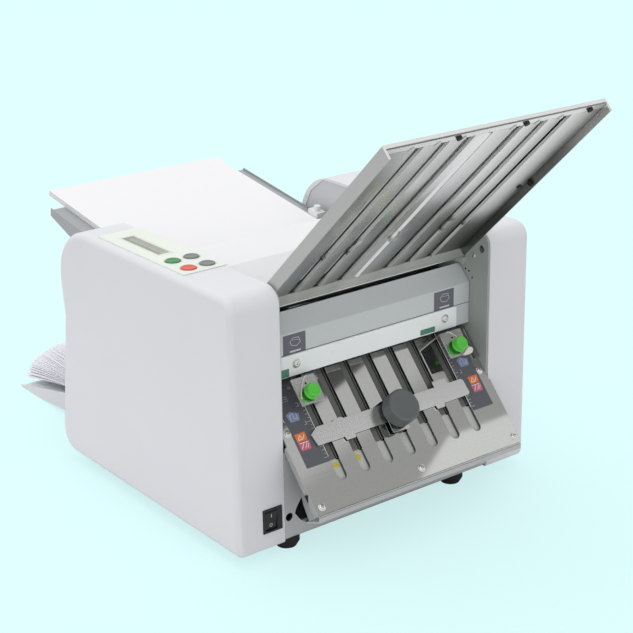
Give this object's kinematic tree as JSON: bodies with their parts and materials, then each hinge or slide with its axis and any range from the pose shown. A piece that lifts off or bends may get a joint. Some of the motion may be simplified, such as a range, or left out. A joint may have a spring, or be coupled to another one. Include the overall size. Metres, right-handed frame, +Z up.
{
  "type": "paper folding machine",
  "caption": "Desktop paper folding machine: two slotted fold plates at the front, feed table and delivery tray at the rear, rounded side covers with a key panel.",
  "frame": {"origin": "Centre of the footprint bounding box, at the level on which the rubber feet stand.", "axes": "+X across the machine towards the cover without controls, +Y from the fold plates to the feed table and tray, +Z up."},
  "size_m": [0.4866, 0.9186, 0.5631],
  "materials": {
    "cover_shell": "light grey, fine moulded texture",
    "frame_steel": "dark grey lacquer, satin",
    "rod_steel": "turned steel",
    "white_shell": "smooth white, satin",
    "front_grey": "mid grey fine texture",
    "marker_white": "white enamel, satin",
    "plate_steel": "fine straight brushing",
    "cradle_grey": "light grey lacquer, satin",
    "bracket_steel": "brushed stainless",
    "stop_steel": "brushed",
    "roller_steel": "ground and ribbed steel",
    "shaft_steel": "turned steel",
    "tyre_rubber": "matt, ground",
    "gear_plastic": "natural moulded",
    "bearing_steel": "polished",
    "motor_grey": "dark satin lacquer",
    "pulley_alu": "machined",
    "belt_rubber": "matt",
    "board_green": "solder-masked board",
    "inlet_black": "moulded",
    "guide_steel": "rolled",
    "tray_grey": "light grey lacquer",
    "sheet_white": "uncoated copy paper",
    "panel_white": "printed satin film",
    "display_dark": "clear window over a grey display",
    "key_green": "satin",
    "key_grey": "satin",
    "key_red": "satin",
    "switch_black": "moulded, satin",
    "knob_dark": "moulded, fine texture",
    "knob_green": "moulded, satin",
    "guide_white": "moulded, satin",
    "foot_rubber": "matt",
    "bumper_rubber": "matt",
    "screw_zinc": "zinc plated"
  },
  "bodies": {
    "machine": {"left_cover": "cover_shell", "right_cover": "cover_shell", "side_frame_left": "frame_steel", "side_frame_right": "frame_steel", "base_pan": "frame_steel", "tie_rods": "rod_steel", "top_cover": "white_shell", "front_cover": "front_grey", "rear_panel": "front_grey", "marker_bar": "marker_white", "lower_fold_plate": "plate_steel", "upper_fold_plate": "plate_steel", "upper_under_sheet": "plate_steel", "feed_deck": "plate_steel", "lower_plate_cradle": "cradle_grey", "format_brackets": "bracket_steel", "separator_pad": "tyre_rubber", "roller_bearings": "bearing_steel", "drive_motor": "motor_grey", "timing_belts": "belt_rubber", "control_board": "board_green", "power_inlet": "inlet_black", "paper_guides": "guide_steel", "feed_table": "tray_grey", "delivery_tray": "tray_grey", "paper_stack": "sheet_white", "folded_sheets": "sheet_white", "control_panel": "panel_white", "display_window": "display_dark", "switch_housing": "switch_black", "rubber_feet": "foot_rubber", "plate_bumpers": "bumper_rubber", "front_screws": "screw_zinc"},
    "common_roller": {"fold_roller_common": "roller_steel", "gear_common": "gear_plastic"},
    "upper_roller": {"fold_roller_upper": "roller_steel", "gear_upper": "gear_plastic"},
    "front_roller": {"fold_roller_front": "roller_steel", "gear_front": "gear_plastic"},
    "lower_roller": {"fold_roller_lower": "roller_steel", "gear_lower": "gear_plastic"},
    "feed_roller": {"feed_shaft": "shaft_steel", "feed_tyres": "tyre_rubber"},
    "exit_drive": {"exit_roller_lower": "shaft_steel"},
    "exit_pinch": {"exit_roller_upper": "shaft_steel"},
    "motor_rotor": {"motor_pulley": "pulley_alu"},
    "lower_stop": {"lower_stop_slide": "bracket_steel"},
    "lower_knob": {"lower_stop_knob": "knob_dark"},
    "upper_stop": {"upper_stop_slide": "stop_steel"},
    "upper_knob": {"upper_stop_knob": "knob_dark"},
    "skew_knob_left": {"format_knob_left": "knob_green"},
    "skew_knob_right": {"format_knob_right": "knob_green"},
    "guide_left": {"side_guide_left": "guide_white"},
    "guide_right": {"side_guide_right": "guide_white"},
    "start_key": {"button_start": "key_green"},
    "plus_key": {"button_plus": "key_grey"},
    "minus_key": {"button_minus": "key_grey"},
    "stop_key": {"button_stop": "key_red"},
    "mains_rocker": {"switch_rocker": "switch_black"}
  },
  "joints": [
    {"name": "common_spin", "type": "hinge", "parent": "machine", "child": "common_roller", "pos_m": [0, -0.15967, 0.266], "axis": [1, 0, 0], "continuous": true},
    {"name": "upper_spin", "type": "hinge", "parent": "machine", "child": "upper_roller", "pos_m": [0, -0.14967, 0.2946], "axis": [1, 0, 0], "continuous": true},
    {"name": "front_spin", "type": "hinge", "parent": "machine", "child": "front_roller", "pos_m": [0, -0.18996, 0.266], "axis": [1, 0, 0], "continuous": true},
    {"name": "lower_spin", "type": "hinge", "parent": "machine", "child": "lower_roller", "pos_m": [0, -0.15573, 0.23596], "axis": [1, 0, 0], "continuous": true},
    {"name": "feed_spin", "type": "hinge", "parent": "machine", "child": "feed_roller", "pos_m": [0, -0.05266, 0.3016], "axis": [1, 0, 0], "continuous": true},
    {"name": "exit_drive_spin", "type": "hinge", "parent": "machine", "child": "exit_drive", "pos_m": [0, 0.12534, 0.104], "axis": [1, 0, 0], "continuous": true},
    {"name": "exit_pinch_spin", "type": "hinge", "parent": "machine", "child": "exit_pinch", "pos_m": [0, 0.12534, 0.1265], "axis": [1, 0, 0], "continuous": true},
    {"name": "motor_spin", "type": "hinge", "parent": "machine", "child": "motor_rotor", "pos_m": [0, -0.06767, 0.088], "axis": [1, 0, 0], "continuous": true},
    {"name": "lower_stop_slide_travel", "type": "slide", "parent": "machine", "child": "lower_stop", "axis": [0, 0.6691, 0.7431], "range_m": [-0.04, 0.022]},
    {"name": "lower_knob_turn", "type": "hinge", "parent": "lower_stop", "child": "lower_knob", "pos_m": [0, -0.27572, 0.15726], "axis": [0, -0.7431, 0.6691], "range_deg": [-170, 170]},
    {"name": "upper_stop_slide_travel", "type": "slide", "parent": "machine", "child": "upper_stop", "axis": [0, -0.7193, 0.6947], "range_m": [-0.045, 0.21]},
    {"name": "upper_knob_turn", "type": "hinge", "parent": "upper_stop", "child": "upper_knob", "pos_m": [0, -0.25583, 0.39882], "axis": [0, -0.6947, -0.7193], "range_deg": [-170, 170]},
    {"name": "skew_left_turn", "type": "hinge", "parent": "machine", "child": "skew_knob_left", "pos_m": [-0.1225, -0.25397, 0.20832], "axis": [0, -0.7431, 0.6691], "range_deg": [-90, 90]},
    {"name": "skew_right_turn", "type": "hinge", "parent": "machine", "child": "skew_knob_right", "pos_m": [0.1225, -0.25397, 0.20832], "axis": [0, -0.7431, 0.6691], "range_deg": [-90, 90]},
    {"name": "guide_left_travel", "type": "slide", "parent": "machine", "child": "guide_left", "axis": [-1, 0, 0], "range_m": [0, 0.0048]},
    {"name": "guide_right_travel", "type": "slide", "parent": "machine", "child": "guide_right", "axis": [1, 0, 0], "range_m": [0, 0.0048]},
    {"name": "start_press", "type": "slide", "parent": "machine", "child": "start_key", "axis": [0, 0, -1], "range_m": [0, 0.0015], "stiffness_N_per_m": 400, "springref_m": -0.001},
    {"name": "plus_press", "type": "slide", "parent": "machine", "child": "plus_key", "axis": [0, 0, -1], "range_m": [0, 0.0015], "stiffness_N_per_m": 400, "springref_m": -0.001},
    {"name": "minus_press", "type": "slide", "parent": "machine", "child": "minus_key", "axis": [0, 0, -1], "range_m": [0, 0.0015], "stiffness_N_per_m": 400, "springref_m": -0.001},
    {"name": "stop_press", "type": "slide", "parent": "machine", "child": "stop_key", "axis": [0, 0, -1], "range_m": [0, 0.0015], "stiffness_N_per_m": 400, "springref_m": -0.001},
    {"name": "mains_rock", "type": "hinge", "parent": "machine", "child": "mains_rocker", "pos_m": [-0.1933, -0.25546, 0.0553], "axis": [1, 0, 0], "range_deg": [-11, 0]}
  ],
  "couplings": [
    {"joint": "upper_spin", "follows": "common_spin", "ratio": -1},
    {"joint": "front_spin", "follows": "common_spin", "ratio": -1},
    {"joint": "lower_spin", "follows": "common_spin", "ratio": -1},
    {"joint": "feed_spin", "follows": "common_spin", "ratio": -0.6},
    {"joint": "exit_drive_spin", "follows": "common_spin", "ratio": -1},
    {"joint": "exit_pinch_spin", "follows": "common_spin", "ratio": 0.913},
    {"joint": "motor_spin", "follows": "common_spin", "ratio": 2}
  ]
}
